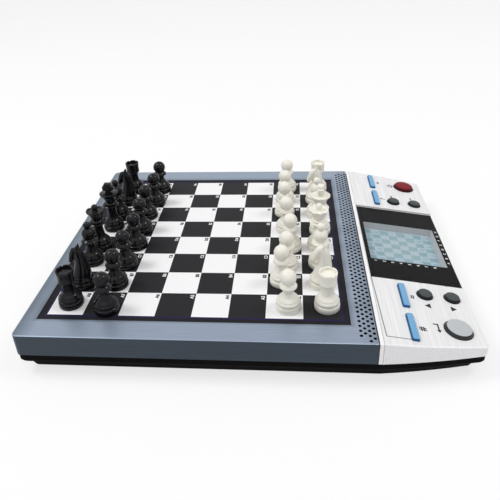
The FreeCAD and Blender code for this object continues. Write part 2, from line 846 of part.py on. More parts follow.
def build_circuit():
    """The control circuit board on the panel's posts, and the keypad mat that lies on it."""
    circuit = body("main_board")
    plan = sketch_on(circuit, "CircuitPlan", "XY_Plane", "0")
    near = f"Size.circuit_near * {SLANT}"
    far = f"{CIRCUIT_FAR} * {SLANT}"
    add_loop(plan, rectangle(near, f"-{CIRCUIT_HALF}", far, CIRCUIT_HALF))
    pad(circuit, plan, "Size.circuit_thick", down=True)
    lay_on_panel(circuit, "0", "0", "Size.circuit_depth")
    mat = body("mat_half")
    pads = sketch_on(mat, "MatPlan", "XY_Plane", "0")
    mat_near = f"(Size.post_inner_out + Size.post_across) * {SLANT}"
    add_loop(pads, rectangle(mat_near, "Size.mat_inner_side", far, CIRCUIT_HALF))
    add_circle(pads, *post_places()[3], "Size.post_across + 4 * Size.slack")
    pad(mat, pads, MAT_THICK)
    lay_on_panel(mat, "0", "0", "Size.circuit_depth")
    other = doc.addObject("Part::Mirroring", "MatNear")
    other.Source = mat
    other.Normal = FreeCAD.Vector(0, 1, 0)
    return [circuit, group("keypad_mat", [mat, other])]


def build_speaker():
    """A round loudspeaker on the floor beside the board's right edge."""
    speaker = body("speaker")
    half = "(Size.speaker_across / 2)"
    tall = "Size.speaker_thick"
    turned(
        speaker,
        [
            ("0", "0"),
            (f"{half} * 0.6", "0"),
            (f"{half} * 0.6", f"{tall} * 0.6"),
            (half, f"{tall} * 0.8"),
            (half, tall),
            (f"{half} * 0.85", tall),
            (f"{half} * 0.35", f"{tall} * 0.7"),
            ("0", f"{tall} * 0.8"),
        ],
    )
    place(speaker, f"{GRID_RIGHT} + Size.hole_offset + 1.5 * Size.hole_column", "0", INSIDE)
    return speaker


def build_battery():
    """Three cells side by side with a contact plate at each end, and the bay's door."""
    low = f"{INSIDE} + Size.cell_gap"
    pitch = "(Size.cell_across + Size.cell_gap)"
    cells = []
    for lane in (-1, 0, 1):
        cell = doc.addObject("Part::Cylinder", "Cell%d" % (lane + 2))
        turn = FreeCAD.Rotation(FreeCAD.Vector(0, 1, 0), 90)
        cell.Placement = FreeCAD.Placement(FreeCAD.Vector(), turn)
        bind(cell, Radius="Size.cell_across / 2", Height="Size.cell_long")
        place(
            cell, "Size.bay_centre - Size.cell_long / 2", f"{lane} * {pitch}",
            f"{low} + Size.cell_across / 2",
        )
        cells.append(cell)
    plates = []
    for end in (-1, 1):
        inner = f"Size.bay_centre + {end} * (Size.cell_long / 2 + Size.slack)"
        outer = f"Size.bay_centre + {end} * {BAY_LONG} / 2"
        ends = (inner, outer) if end > 0 else (outer, inner)
        for lane in (-1, 0, 1):
            middle = f"{lane} * {pitch}"
            reach = "Size.cell_across * 0.3"
            plates.append(
                box(
                    "Contact%d%d" % (end + 2, lane + 2),
                    (ends[0], f"{middle} - {reach}", f"{low} + Size.cell_across / 2 - {reach}"),
                    (ends[1], f"{middle} + {reach}", f"{low} + Size.cell_across / 2 + {reach}"),
                )
            )
    door = body("battery_door")
    plan = sketch_on(door, "DoorPlan", "XY_Plane", FLOOR)
    add_loop(plan, bay_rectangle("Size.door_ledge"))
    pad(door, plan, "Size.door_thick - Size.slack")
    grip = sketch_on(door, "DoorGrip", "XY_Plane", FLOOR)
    reach = "Size.cell_across / 2"
    edge = f"Size.bay_centre + {BAY_LONG} / 2"
    add_loop(grip, rectangle(f"{edge} - 3 * Size.door_ledge", f"-{reach}", edge, reach))
    pocket(door, grip, "Size.door_thick / 3", up=True)
    return [group("battery_cells", cells), group("battery_contacts", plates), door]


def build_fasteners():
    """Rubber feet in their seats and the screws that close the case from below."""
    feet = []
    for index, (x, y) in enumerate(FEET):
        tall = "Size.foot_height + Size.foot_sunk"
        feet.append(cylinder("Foot%d" % index, "Size.foot_across", tall, x, y, "0"))
    screws = []
    for index, (x, y) in enumerate(SCREWS):
        screw = body("Screw%d" % index)
        head = "Size.screw_head / 2"
        shank = "Size.screw_shank / 2"
        tip = f"{RIM} + Size.screw_bite - {FLOOR}"
        turned(
            screw,
            [
                ("0", "Size.slack"),
                (head, "Size.slack"),
                (head, "Size.screw_head_thick"),
                (shank, "Size.screw_head_thick"),
                (shank, f"{tip} - Size.screw_shank / 2"),
                ("0", tip),
            ],
        )
        place(screw, x, y, FLOOR)
        screws.append(screw)
    return [group("rubber_feet", feet), group("case_screws", screws)]


def foot_profile(waist):
    """The foot that every chessman shares, from the middle of its underside to its waist."""
    half = "(Size.man_across / 2)"
    return [
        ("0", "0"),
        (half, "0"),
        (half, "3.6"),
        (f"{half} - 0.8", "4.6"),
        (f"{half} - 0.4", "5.6"),
        (f"{half} - 0.8", "8.2"),
        (f"{half} - 2.8", "10.8"),
        (waist, "14"),
    ]


def ball_profile(across, top, angles):
    """Corners on a ball of a given top, at angles above its middle."""
    radius = f"(({across}) / 2)"
    return [
        (f"{radius} * cos({angle})", f"{top} - {radius} + {radius} * sin({angle})")
        for angle in angles
    ]


def build_pawn():
    pawn = body("pawn_form")
    tall = "Size.pawn_tall"
    turned(
        pawn,
        foot_profile("4.3")
        + [
            ("3.7", f"{tall} - 14"),
            ("5.9", f"{tall} - 12.6"),
            ("5.9", f"{tall} - 11.8"),
        ]
        + ball_profile("Size.pawn_head", tall, (-44, -14, 14, 44, 70))
        + [("0", tall)],
    )
    return pawn


def build_rook():
    rook = body("rook_form")
    tall = "Size.rook_tall"
    turned(
        rook,
        foot_profile("4.9")
        + [
            ("4.1", f"{tall} - 9.4"),
            ("5.6", f"{tall} - 7.6"),
            ("5.5", f"{tall} - 6.4"),
            ("6.15", tall),
            ("4.6", tall),
            ("4.6", f"{tall} - Size.notch_deep"),
            ("0", f"{tall} - Size.notch_deep"),
        ],
    )
    notches = sketch_on(rook, "RookNotches", "XY_Plane", tall)
    half = "Size.notch_wide / 2"
    add_loop(notches, rectangle("3.5", f"-{half}", "7", half))
    first = pocket(rook, notches, "Size.notch_deep * 0.7")
    around(rook, first, notches, 6)
    return rook


def around(owner, feature, sketch, count):
    pattern = owner.newObject("PartDesign::PolarPattern", owner.Name + "Around")
    pattern.Originals = [feature]
    pattern.Axis = (sketch, ["N_Axis"])
    pattern.Angle = 360
    pattern.Occurrences = count
    owner.Tip = pattern
    doc.recompute()


def build_knight():
    """A turned foot with a horse's head that looks towards -X."""
    knight = body("knight_form")
    turned(knight, foot_profile("5") + [("0", "14")])
    tall = "Size.knight_tall"
    head = sketch_on(knight, "KnightHead", "XZ_Plane", "-Size.knight_thick / 2")
    outline = [
        ("-4.6", "12"),
        ("5", "12"),
        ("1.2", f"{tall} - 2.2"),
        ("0.2", tall),
        ("-1.4", f"{tall} - 2.4"),
        ("-8.2", f"{tall} - 11"),
        ("-7.8", f"{tall} - 13.2"),
        ("-4.6", f"{tall} - 12.4"),
        ("-1.8", f"{tall} - 13.4"),
    ]
    add_loop(head, outline, {1: "14", 4: "16", 5: "1.4"}, {6: "6", 8: "9"})
    pad(knight, head, "Size.knight_thick")
    return knight


def build_bishop():
    bishop = body("bishop_form")
    tall = "Size.bishop_tall"
    turned(
        bishop,
        foot_profile("4.4")
        + [
            ("3.5", f"{tall} - 17.2"),
            ("6.2", f"{tall} - 15.6"),
            ("6.2", f"{tall} - 14.9"),
        ]
        + ball_profile("Size.bishop_head", f"{tall} - 4.7", (-42, -10, 22, 54))
        + ball_profile("Size.bishop_knob", tall, (-44, 0, 44, 70))
        + [("0", tall)],
    )
    return bishop


def crowned(tall, crown):
    """The body of a queen or a king up to the bottom of the crown's flare."""
    return foot_profile("4.6") + [
        ("3.9", f"{tall} - {crown} - 4.4"),
        ("6.9", f"{tall} - {crown} - 2.6"),
        ("6.9", f"{tall} - {crown} - 1.8"),
        ("4.6", f"{tall} - {crown}"),
        ("5.2", f"{tall} - {crown} + 4"),
    ]


def build_queen():
    queen = body("queen_form")
    tall = "Size.queen_tall"
    turned(
        queen,
        crowned(tall, "14.7")
        + [
            ("7.3", f"{tall} - 5.9"),
            ("7.3", f"{tall} - 5.1"),
            ("6.3", f"{tall} - 4.9"),
            ("5", f"{tall} - 5.9"),
            ("2.2", f"{tall} - 5.6"),
        ]
        + ball_profile("Size.queen_knob", tall, (-40, 5, 50))
        + [("0", tall)],
    )
    notches = sketch_on(queen, "QueenNotches", "XY_Plane", f"{tall} - 4.5")
    half = "Size.notch_wide * 0.35"
    add_loop(notches, rectangle("5.4", f"-{half}", "8", half))
    first = pocket(queen, notches, "1.4")
    around(queen, first, notches, 8)
    return queen


def build_king():
    king = body("king_form")
    tall = "Size.king_tall"
    turned(
        king,
        crowned(tall, "18.1")
        + [
            ("7.7", f"{tall} - 9.8"),
            ("7.7", f"{tall} - 9"),
            ("6.8", f"{tall} - 8.6"),
            ("3.6", f"{tall} - 8.8"),
            ("2.8", f"{tall} - 8.1"),
            ("0", f"{tall} - 8"),
        ],
    )
    cross = sketch_on(king, "KingCross", "YZ_Plane", "-Size.cross_thick / 2")
    stem = "1.9"
    arm = "4.4"
    head = "2.6"
    add_loop(
        cross,
        [
            (f"-{stem}", f"{tall} - 8.6"),
            (stem, f"{tall} - 8.6"),
            (stem, f"{tall} - 6.4"),
            (arm, f"{tall} - 6.1"),
            (arm, f"{tall} - 2.8"),
            (head, f"{tall} - 2.4"),
            (head, tall),
            (f"-{head}", tall),
            (f"-{head}", f"{tall} - 2.4"),
            (f"-{arm}", f"{tall} - 2.8"),
            (f"-{arm}", f"{tall} - 6.1"),
            (f"-{stem}", f"{tall} - 6.4"),
        ],
    )
    pad(king, cross, "Size.cross_thick")
    return king


FILES = "abcdefgh"
OFFICERS = ["rook", "knight", "bishop", "queen", "king", "bishop", "knight", "rook"]

# How far each man stands from the middle of its square, to the right and away, in
# file order from a to h.
STRAY = {
    "white_back": [
        (3.6, 0.3), (1, 0), (1, 0), (0.6, -1.4), (3, -2.9), (1, 0), (1, 0), (4, -3),
    ],
    "white_pawn": [
        (2.6, -1.2), (-2.2, 2.6), (1.1, -4.2), (3.7, -3.1),
        (0.4, -0.5), (-1.3, 2.2), (-1.1, -0.2), (0.5, -2),
    ],
    "black_back": [
        (0.8, -0.5), (2, -3.2), (0, 1), (0, -3.2),
        (2, 2.1), (1.3, -2.6), (2.9, -2.9), (2.5, -1.3),
    ],
    "black_pawn": [
        (3.2, -6.5), (2.2, -3.6), (3, -3.3), (4.3, -1.9),
        (3.3, -2.4), (2.2, -3.5), (4.5, -4.5), (4.3, -3.9),
    ],
}


def set_up_men(forms):
    """Stand the thirty-two men on their squares, files a to h from near to far."""
    men = []
    for colour, back, front in (("white", 7, 6), ("black", 0, 1)):
        for file, letter in enumerate(FILES):
            officer = OFFICERS[file]
            twin = officer in ("rook", "knight", "bishop")
            name = f"{colour}_{officer}" + (f"_{letter}" if twin else "")
            men.append((name, forms[officer], back, file, STRAY[colour + "_back"][file]))
            pawn = f"{colour}_pawn_{letter}"
            men.append((pawn, forms["pawn"], front, file, STRAY[colour + "_pawn"][file]))
    return [stand_man(*man) for man in men]


def stand_man(label, form, column, file, stray):
    man = doc.addObject("App::Link", label)
    man.Label = label
    man.LinkedObject = form
    place(
        man,
        f"{GRID_LEFT} + {column + 0.5} * Size.square + {stray[0]}",
        f"-{GRID} / 2 + {file + 0.5} * Size.square + {stray[1]}",
        BOARD,
    )
    return man


def main():
    parts = [build_bottom_case(), build_top_frame(), build_control_panel(), build_trim()]
    parts += build_board()
    parts += build_window()
    parts += [build_key(*key) for key in key_places()]
    parts += build_circuit()
    parts.append(build_speaker())
    parts += build_battery()
    parts += build_fasteners()
    forms = {
        "pawn": build_pawn(),
        "rook": build_rook(),
        "knight": build_knight(),
        "bishop": build_bishop(),
        "queen": build_queen(),
        "king": build_king(),
    }
    parts += set_up_men(forms)
    doc.recompute()
    failed = [o.Name for o in doc.Objects if {"Invalid", "Error"} & set(o.State)]
    if failed:
        raise RuntimeError("objects that failed: " + ", ".join(failed))
    shapes = {part.Label: Part.getShape(part) for part in parts}
    for label, shape in shapes.items():
        if shape.isNull() or not shape.isValid():
            raise RuntimeError("no sound shape for " + label)
    os.makedirs("parts", exist_ok=True)
    for label, shape in shapes.items():
        shape.exportStep(f"parts/{label}.step")
    print(len(shapes), "sub-parts written")


main()
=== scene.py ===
import json
import math

import bpy
from mathutils import Matrix, Vector


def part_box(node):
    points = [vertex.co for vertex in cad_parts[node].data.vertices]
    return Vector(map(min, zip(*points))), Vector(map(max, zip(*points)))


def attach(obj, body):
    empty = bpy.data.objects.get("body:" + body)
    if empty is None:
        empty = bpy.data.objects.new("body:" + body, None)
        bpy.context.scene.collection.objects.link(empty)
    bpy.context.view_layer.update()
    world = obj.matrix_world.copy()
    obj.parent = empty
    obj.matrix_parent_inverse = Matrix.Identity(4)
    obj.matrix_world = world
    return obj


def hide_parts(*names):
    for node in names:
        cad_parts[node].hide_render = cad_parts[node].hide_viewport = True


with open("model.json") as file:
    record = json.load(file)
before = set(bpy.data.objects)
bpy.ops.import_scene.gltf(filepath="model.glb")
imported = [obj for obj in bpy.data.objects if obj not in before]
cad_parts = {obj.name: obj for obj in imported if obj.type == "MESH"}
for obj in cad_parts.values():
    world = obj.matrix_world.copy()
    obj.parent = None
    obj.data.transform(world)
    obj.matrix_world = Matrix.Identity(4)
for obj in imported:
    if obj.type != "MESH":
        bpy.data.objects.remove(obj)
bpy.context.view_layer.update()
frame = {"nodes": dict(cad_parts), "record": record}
nodes = frame["nodes"]
scene = bpy.context.scene

MM = 0.001
SQUARE = 25.0
GRID_LEFT = -137.5
GRID_RIGHT = GRID_LEFT + 8 * SQUARE
GRID_NEAR = -4 * SQUARE
OPENING = 5.5
BEVEL = 3.0
BOARD_TOP = 31.0
FRAME_TOP = 32.2
FRAME_LEFT = -153.25
# Width in millimetres over which the frame's top fades into painted shade at its left edge and right
# end
PAINTED_SHADE_WIDTH = 14.0
PANEL_START = 86.65
PANEL_LENGTH = 66.6
PANEL_DROP = 10.0
TILT = math.atan(PANEL_DROP / PANEL_LENGTH)
HOLE_START = GRID_RIGHT + 10.8
HOLE_COLUMN = 2.75
HOLE_PITCH = 4.59
HOLE_NEAR = -111.5
HOLE_NEAR_ENDS = (-116.6, -114.4, -121.0, -118.8)
HOLE_FAR_END = 116.5
HOLE_ZONE = (-122.2, 119.0)
NORMAL = Vector((math.sin(TILT), 0, math.cos(TILT)))

# Places on the sloping panel: out from its board side, and to the far (plus) or near side
BAR_OUT = 20.3
BAR_SIDES = {"inner": 71.6, "outer": 104.0}
ARROW_OUTS = {"left": 35.7, "right": 54.5}
ARROW_SIDE = 67.7
LARGE_OUT = 50.5
LARGE_SIDE = 100.6
LARGE_SIGN_OUT = 37.6
WINDOW_OUT = (0.55, 66.45)
WINDOW_HALF = 53.3
VIEW_OUT = (3.9, 62.0)
VIEW_HALF = 27.2
MASK_DEPTH = -1.36
MARK_LIFT = 0.05
INK_LIFT = 0.03


def on_panel(out, side, height=0.0):
    """A point over the sloping deck, in millimetres."""
    deck = Vector((PANEL_START + out, side, FRAME_TOP - PANEL_DROP * out / PANEL_LENGTH))
    return deck + NORMAL * height


# Materials


class Shader:
    """A principled material with small helpers for procedural inputs."""

    def __init__(self, name, rough, metallic=0.0, gloss=0.3):
        self.material = bpy.data.materials.new(name)
        self.material.use_nodes = True
        self.tree = self.material.node_tree
        self.surface = self.tree.nodes["Principled BSDF"]
        self.surface.inputs["Roughness"].default_value = rough
        self.surface.inputs["Metallic"].default_value = metallic
        self.surface.inputs["Specular IOR Level"].default_value = gloss
        self.place = self.tree.nodes.new("ShaderNodeTexCoord").outputs["Object"]

    def link(self, source, target):
        """Join an output to an input."""
        self.tree.links.new(source, target)

    def math(self, kind, *values):
        """One sum on numbers or outputs."""
        node = self.tree.nodes.new("ShaderNodeMath")
        node.operation = kind
        for socket, value in zip(node.inputs, values):
            if isinstance(value, (int, float)):
                socket.default_value = value
            else:
                self.link(value, socket)
        return node.outputs[0]

    def axes(self):
        """The place on the object in millimetres, as three outputs."""
        split = self.tree.nodes.new("ShaderNodeSeparateXYZ")
        self.link(self.place, split.inputs[0])
        return [self.math("MULTIPLY", out, 1000.0) for out in split.outputs]

    def noise(self, scale, stretch=(1, 1, 1), detail=2.0):
        """Soft noise; a small stretch along an axis draws it out into streaks."""
        shift = self.tree.nodes.new("ShaderNodeMapping")
        shift.inputs["Scale"].default_value = stretch
        self.link(self.place, shift.inputs["Vector"])
        node = self.tree.nodes.new("ShaderNodeTexNoise")
        node.inputs["Scale"].default_value = scale
        node.inputs["Detail"].default_value = detail
        self.link(shift.outputs[0], node.inputs["Vector"])
        return node.outputs["Fac"]

    def mix(self, factor, low, high):
        """A blend of two colours, each written out or an output."""
        node = self.tree.nodes.new("ShaderNodeMix")
        node.data_type = "RGBA"
        sockets = (node.inputs[0], node.inputs[6], node.inputs[7])
        for socket, value in zip(sockets, (factor, low, high)):
            if isinstance(value, (int, float)):
                socket.default_value = value
            elif isinstance(value, tuple):
                socket.default_value = (*value, 1.0)
            else:
                self.link(value, socket)
        return node.outputs[2]

    def speckled(self, colour, spread, fac):
        """A colour that varies by the spread, darker and lighter."""
        low = tuple(c * (1 - spread) for c in colour)
        high = tuple(min(c * (1 + spread), 1.0) for c in colour)
        return self.mix(fac, low, high)

    def colour(self, output):
        self.link(output, self.surface.inputs["Base Color"])

    def bump(self, height, strength, distance=0.0002):
        """A fine relief on the surface."""
        node = self.tree.nodes.new("ShaderNodeBump")
        node.inputs["Strength"].default_value = strength
        node.inputs["Distance"].default_value = distance
        self.link(height, node.inputs["Height"])
        self.link(node.outputs[0], self.surface.inputs["Normal"])

    def between(self, value, low, high):
        """One where a value lies between two limits, zero elsewhere."""
        above = self.math("GREATER_THAN", value, low)
        below = self.math("LESS_THAN", value, high)
        return self.both(above, below)

    def both(self, one, other):
        """One where both values are one."""
        return self.math("MULTIPLY", one, other)

    def limit(self, value):
        """A value held between zero and one."""
        return self.math("MINIMUM", self.math("MAXIMUM", value, 0.0), 1.0)

    def upright(self, limit):
        """One on faces steeper than the limit, zero on level ones."""
        geometry = self.tree.nodes.new("ShaderNodeNewGeometry")
        split = self.tree.nodes.new("ShaderNodeSeparateXYZ")
        self.link(geometry.outputs["True Normal"], split.inputs[0])
        return self.math("LESS_THAN", split.outputs[2], limit)


def plain(name, colour, rough, spread=0.08, scale=300.0, bump=0.0, metallic=0.0, gloss=0.3):
    shader = Shader(name, rough, metallic, gloss)
    grain = shader.noise(scale)
    shader.colour(shader.speckled(colour, spread, grain))
    if bump:
        shader.bump(grain, bump)
    return shader.material


def cap_paint_and_painted_shade(name, top, side, rough):
    """A moulded key with painted shade: its side colour darkens the upright side."""
    shader = Shader(name, rough, 0.0, 0.12)
    grain = shader.noise(900.0)
    level = shader.speckled(top, 0.06, grain)
    # Painted shade on the upright side
    painted_wall_shade = shader.speckled(side, 0.06, grain)
    shader.colour(shader.mix(shader.upright(0.72), level, painted_wall_shade))
    shader.bump(grain, 0.04)
    return shader.material


def frame_paint_and_painted_light():
    """Brushed blue-grey paint with painted light: painted shade on the dark upright sides, toward the
    left edge and right end and down the inner bevel, a painted highlight on the rounded outer edge, and
    painted shade in the dark holes.
    """
    shader = Shader("frame_paint_and_painted_light", 0.36, 0.4)
    x, y, z = shader.axes()
    width = shader.between(x, GRID_LEFT - OPENING - BEVEL, GRID_RIGHT + OPENING + BEVEL)
    reach = OPENING + BEVEL - GRID_NEAR
    middle = shader.between(y, -reach, reach)
    ends = shader.math("SUBTRACT", 1.0, middle)
    lengthwise = shader.both(ends, shader.noise(900.0, (0.04, 3.0, 3.0), 3.0))
    crosswise = shader.both(middle, shader.noise(900.0, (3.0, 0.04, 3.0), 3.0))
    brushed = shader.math("ADD", lengthwise, crosswise)
    # Painted shade and painted light on the top: darker toward the left edge and the right end, lighter
    # between
    painted_shade_top = shader.speckled((0.125, 0.158, 0.198), 0.25, brushed)
    painted_light_top = shader.speckled((0.275, 0.328, 0.415), 0.25, brushed)
    left = shader.limit(shader.math("DIVIDE", shader.math("SUBTRACT", x, FRAME_LEFT), PAINTED_SHADE_WIDTH))
    right = shader.limit(shader.math("DIVIDE", shader.math("SUBTRACT", PANEL_START, x), PAINTED_SHADE_WIDTH))
    painted_light_share = shader.both(left, shader.math("MULTIPLY_ADD", right, 0.7, 0.3))
    top = shader.mix(painted_light_share, painted_shade_top, painted_light_top)
    # Painted shade on the upright sides: a much darker colour than the top
    side = shader.speckled((0.039, 0.054, 0.074), 0.30, brushed)
    # Painted shade down the inner bevel, deepening from the frame's top toward the board
    painted_bevel_shade = shader.speckled((0.132, 0.160, 0.202), 0.22, brushed)
    bevel_shade_depth = shader.math("DIVIDE", shader.math("SUBTRACT", FRAME_TOP, z), FRAME_TOP - BOARD_TOP)
    inside = shader.both(width, middle)
    level = shader.mix(shader.both(inside, shader.limit(bevel_shade_depth)), top, painted_bevel_shade)
    # Painted highlight on the tilted faces outside the opening, along the rounded outer edge
    outside = shader.math("SUBTRACT", 1.0, inside)
    rim = shader.both(shader.upright(0.97), outside)
    eased = shader.mix(rim, level, (0.28, 0.34, 0.43))
    paint = shader.mix(shader.upright(0.55), eased, side)
    # Painted shade in the speaker holes: near black below the top
    across = shader.between(x, HOLE_START - 2, HOLE_START + 3 * HOLE_COLUMN + 2)
    along = shader.between(y, *HOLE_ZONE)
    below = shader.between(z, FRAME_TOP - 5, FRAME_TOP - 0.12)
    painted_hole_shade = shader.both(shader.both(across, along), below)
    shader.colour(shader.mix(painted_hole_shade, paint, (0.0055, 0.0055, 0.0091)))
    return shader.material


def panel_paint_and_painted_shade():
    """Brushed silver paint with painted shade on its upright faces; grey inside the display's well."""
    shader = Shader("panel_paint_and_painted_shade", 0.38, 0.1)
    streaks = shader.noise(900.0, (1.5, 0.02, 1.0), 3.0)
    deck = shader.speckled((0.87, 0.868, 0.892), 0.30, streaks)
    # Painted shade on the upright faces: a little darker than the deck
    side = shader.speckled((0.855, 0.846, 0.874), 0.16, streaks)
    silver = shader.mix(shader.upright(0.5), deck, side)
    x, y, _ = shader.axes()
    well_start, well_end, well_half = 1.5, 64.8, 28.6
    deep = shader.between(x, PANEL_START + well_start, PANEL_START + well_end)
    inside = shader.both(deep, shader.between(y, -well_half, well_half))
    well = shader.speckled((0.619, 0.61, 0.619), 0.1, streaks)
    shader.colour(shader.mix(inside, silver, well))
    shader.bump(streaks, 0.06)
    return shader.material


def board_print():
    """The eight by eight grid, its thin navy outline and the dark border."""
    shader = Shader("board_print", 0.45, 0.0, 0.05)
    x, y, _ = shader.axes()
    column = shader.math("DIVIDE", shader.math("SUBTRACT", x, GRID_LEFT), SQUARE)
    row = shader.math("DIVIDE", shader.math("SUBTRACT", y, GRID_NEAR), SQUARE)
    steps = shader.math("ADD", shader.math("FLOOR", column), shader.math("FLOOR", row))
    dark_square = shader.math("FLOORED_MODULO", steps, 2.0)
    grain = shader.noise(1500.0)
    light = shader.speckled((0.89, 0.887, 0.90), 0.03, grain)
    dark = shader.speckled((0.023, 0.023, 0.025), 0.12, grain)
    navy = shader.speckled((0.022, 0.0182, 0.062), 0.1, grain)
    border = shader.speckled((0.0164, 0.0164, 0.02), 0.1, grain)
    on_grid = shader.both(shader.between(column, 0, 8), shader.between(row, 0, 8))
    low, high = -0.06, 8.06
    near_grid = shader.both(shader.between(column, low, high), shader.between(row, low, high))
    squares = shader.mix(dark_square, light, dark)
    around = shader.mix(near_grid, border, navy)
    shader.colour(shader.mix(on_grid, around, squares))
    shader.bump(grain, 0.03)
    return shader.material


def display_glass():
    """A pale teal liquid-crystal display: a faint board with two rows of men at each end."""
    shader = Shader("display_glass", 0.2, 0.0, 0.12)
    x, y, _ = shader.axes()
    cell_long, cell_wide = 7.0, 6.4
    start = PANEL_START + 3.6
    column = shader.math("DIVIDE", shader.math("SUBTRACT", x, start), cell_long)
    row = shader.math("DIVIDE", shader.math("ADD", y, 4 * cell_wide), cell_wide)
    steps = shader.math("ADD", shader.math("FLOOR", column), shader.math("FLOOR", row))
    odd = shader.math("FLOORED_MODULO", steps, 2.0)
    grain = shader.noise(2400.0)
    pale = shader.speckled((0.395, 0.498, 0.556), 0.06, grain)
    tint = shader.speckled((0.268, 0.398, 0.436), 0.08, grain)
    on_grid = shader.both(shader.between(column, 0, 8), shader.between(row, 0, 8))
    checker = shader.mix(shader.both(odd, on_grid), pale, tint)
    down = shader.math("SUBTRACT", shader.math("FRACT", column), 0.5)
    side = shader.math("SUBTRACT", shader.math("FRACT", row), 0.5)
    lift = shader.math("ADD", down, 0.14)
    reach = shader.math("SQRT", shader.math("ADD", shader.both(lift, lift), shader.both(side, side)))
    head = shader.math("LESS_THAN", reach, 0.17)
    foot = shader.both(shader.between(down, 0.02, 0.34), shader.between(side, -0.23, 0.23))
    man = shader.math("MAXIMUM", head, foot)
    ranks = shader.math("ADD", shader.between(column, 0, 2), shader.between(column, 6, 8))
    marks = shader.math("MULTIPLY", shader.both(shader.both(man, ranks), on_grid), 0.45)
    shader.colour(shader.mix(marks, checker, (0.164, 0.291, 0.364)))
    return shader.material


def window_glass():
    """Clear lens: mostly see-through with a little gloss."""
    material = bpy.data.materials.new("window_glass")
    material.use_nodes = True
    tree = material.node_tree
    tree.nodes.remove(tree.nodes["Principled BSDF"])
    clear = tree.nodes.new("ShaderNodeBsdfTransparent")
    gloss = tree.nodes.new("ShaderNodeBsdfGlossy")
    gloss.inputs["Roughness"].default_value = 0.03
    noise = tree.nodes.new("ShaderNodeTexNoise")
    noise.inputs["Scale"].default_value = 60.0
    place = tree.nodes.new("ShaderNodeTexCoord")
    tree.links.new(place.outputs["Object"], noise.inputs["Vector"])
    tint = tree.nodes.new("ShaderNodeMapRange")
    tint.inputs["To Min"].default_value = 0.006
    tint.inputs["To Max"].default_value = 0.010
    tree.links.new(noise.outputs["Fac"], tint.inputs["Value"])
    mix = tree.nodes.new("ShaderNodeMixShader")
    tree.links.new(tint.outputs[0], mix.inputs[0])
    tree.links.new(clear.outputs[0], mix.inputs[1])
    tree.links.new(gloss.outputs[0], mix.inputs[2])
    tree.links.new(mix.outputs[0], tree.nodes["Material Output"].inputs["Surface"])
    return material


MATERIALS = {
    "case_black": plain("case_black_look", (0.0055, 0.0055, 0.0055), 0.6, 0.1, 2200.0, 0.1, gloss=0.02),
    "frame_blue_grey": frame_paint_and_painted_light(),
    "panel_silver": panel_paint_and_painted_shade(),
    "trim_silver": plain("trim_look", (0.9, 0.9, 0.9), 0.3, 0.05, 500.0, metallic=0.1),
    "board_print": board_print(),
    "window_clear": window_glass(),
    "display": display_glass(),
    "circuit": plain("circuit_look", (0.02, 0.12, 0.05), 0.4, 0.2, 400.0),
    "keypad_rubber": plain("keypad_look", (0.08, 0.08, 0.085), 0.8, 0.1),
    "speaker_dark": plain("speaker_look", (0.015, 0.015, 0.015), 0.7, 0.2),
    "battery_sleeve": plain("battery_look", (0.02, 0.02, 0.025), 0.35, 0.2),
    "contact_steel": plain("contact_look", (0.55, 0.55, 0.53), 0.3, 0.08, 900.0, metallic=0.9),
    "foot_rubber": plain("foot_look", (0.012, 0.012, 0.012), 0.85, 0.2, 900.0, 0.2),
    # Each key's second colour is painted shade for its upright side
    "key_blue": cap_paint_and_painted_shade("key_blue_look", (0.178, 0.41, 0.664), (0.029, 0.118, 0.282), 0.4),
    "key_dark": cap_paint_and_painted_shade("key_dark_look", (0.066, 0.076, 0.08), (0.0146, 0.0164, 0.0173), 0.5),
    "key_grey": cap_paint_and_painted_shade("key_grey_look", (0.51, 0.528, 0.546), (0.04, 0.04, 0.044), 0.45),
    "key_red": cap_paint_and_painted_shade("key_red_look", (0.191, 0.0109, 0.0164), (0.046, 0.0036, 0.0073), 0.5),
    "men_ivory": plain("ivory_look", (0.88, 0.86, 0.775), 0.36, 0.03, 260.0),
    "men_black": plain("ebony_look", (0.0055, 0.0055, 0.0073), 0.14, 0.15, 260.0, gloss=0.2),
}
INK = plain("ink_look", (0.022, 0.022, 0.025), 0.5, 0.2, 900.0, gloss=0.2)
WHITE_INK = plain("white_ink_look", (0.9, 0.9, 0.9), 0.5, 0.04, 900.0)
MASK_BLACK = plain("mask_look", (0.0055, 0.0055, 0.0064), 0.3, 0.2, 300.0, gloss=0.03)
GROOVE = plain("groove_look", (0.182, 0.182, 0.2), 0.6, 0.1, 900.0)
FAINT = plain("faint_look", (0.764, 0.764, 0.801), 0.6, 0.1, 900.0)

for entry in frame["record"]["subparts"]:
    mesh = nodes[entry["node"]].data
    mesh.materials.clear()
    mesh.materials.append(MATERIALS[entry["material_slot"]])


# Pieces


def piece(name, points, faces, material, body, smooth=False):
    """A mesh in millimetres that rides on a body."""
    mesh = bpy.data.meshes.new(name)
    mesh.from_pydata([Vector(p) * MM for p in points], [], faces)
    mesh.materials.append(material)
    mesh.validate()
    if smooth:
        mesh.shade_smooth()
    thing = bpy.data.objects.new(name, mesh)
    scene.collection.objects.link(thing)
    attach(thing, body)
    return thing


def lathe(profile, count=40, lift=None):
    """Points and faces of a profile of (radius, height) turned about Z."""
    points, faces = [], []
    for step in range(count):
        angle = 2 * math.pi * step / count
        for index, (r, z) in enumerate(profile):
            if lift:
                z += lift(step, index)
            points.append((r * math.cos(angle), r * math.sin(angle), z))
    size = len(profile)
    for step in range(count):
        here, there = step * size, (step + 1) % count * size
        for index in range(size - 1):
            quad = (here + index, there + index, there + index + 1, here + index + 1)
            faces.append(quad)
    return points, faces


def ball(radius, height, start, end=90, steps=8):
    """An arc of a profile, from one angle above the level to another."""
    arc = []
    for step in range(steps + 1):
        angle = math.radians(start + (end - start) * step / steps)
        arc.append((max(radius * math.cos(angle), 0.0), height + radius * math.sin(angle)))
    return arc


